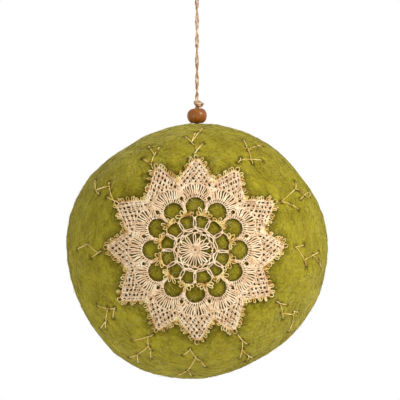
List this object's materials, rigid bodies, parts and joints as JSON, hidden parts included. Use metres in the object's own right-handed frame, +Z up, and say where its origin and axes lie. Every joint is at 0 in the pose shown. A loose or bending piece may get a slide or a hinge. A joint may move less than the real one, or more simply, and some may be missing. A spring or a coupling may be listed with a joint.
{
  "type": "felted wool ball ornament",
  "caption": "Round felted wool hanging ornament with a lace doily on its front, gold thread sprigs, and a wooden bead and a looped cord on top.",
  "frame": {"origin": "the hanging point, at the top of the inside of the cord's loop", "axes": "+Z up along the taut cord, -Y out of the decorated front, +X to the right as seen from the front"},
  "size_m": [0.1084, 0.1093, 0.2001],
  "materials": {
    "green_felt": "matte felted wool",
    "lacquered_wood": "turned and lacquered",
    "twisted_cord": "twisted cotton and metallic thread",
    "ecru_thread": "mercerised cotton thread",
    "gold_thread": "soft metallic thread"
  },
  "bodies": {
    "root": {"felt_ball": "green_felt", "wooden_bead": "lacquered_wood", "cord_tail": "twisted_cord", "cord_knot": "twisted_cord", "hanging_cord": "twisted_cord", "cord_top_loop": "twisted_cord", "doily_rosette": "ecru_thread", "doily_gold_ring": "gold_thread", "doily_petal_ring": "ecru_thread", "doily_gold_edging": "gold_thread", "sprig_01": "gold_thread", "sprig_02": "gold_thread", "sprig_03": "gold_thread", "sprig_04": "gold_thread", "sprig_05": "gold_thread", "sprig_06": "gold_thread", "sprig_07": "gold_thread", "sprig_08": "gold_thread", "sprig_09": "gold_thread", "sprig_10": "gold_thread", "sprig_11": "gold_thread", "sprig_12": "gold_thread"}
  },
  "joints": []
}
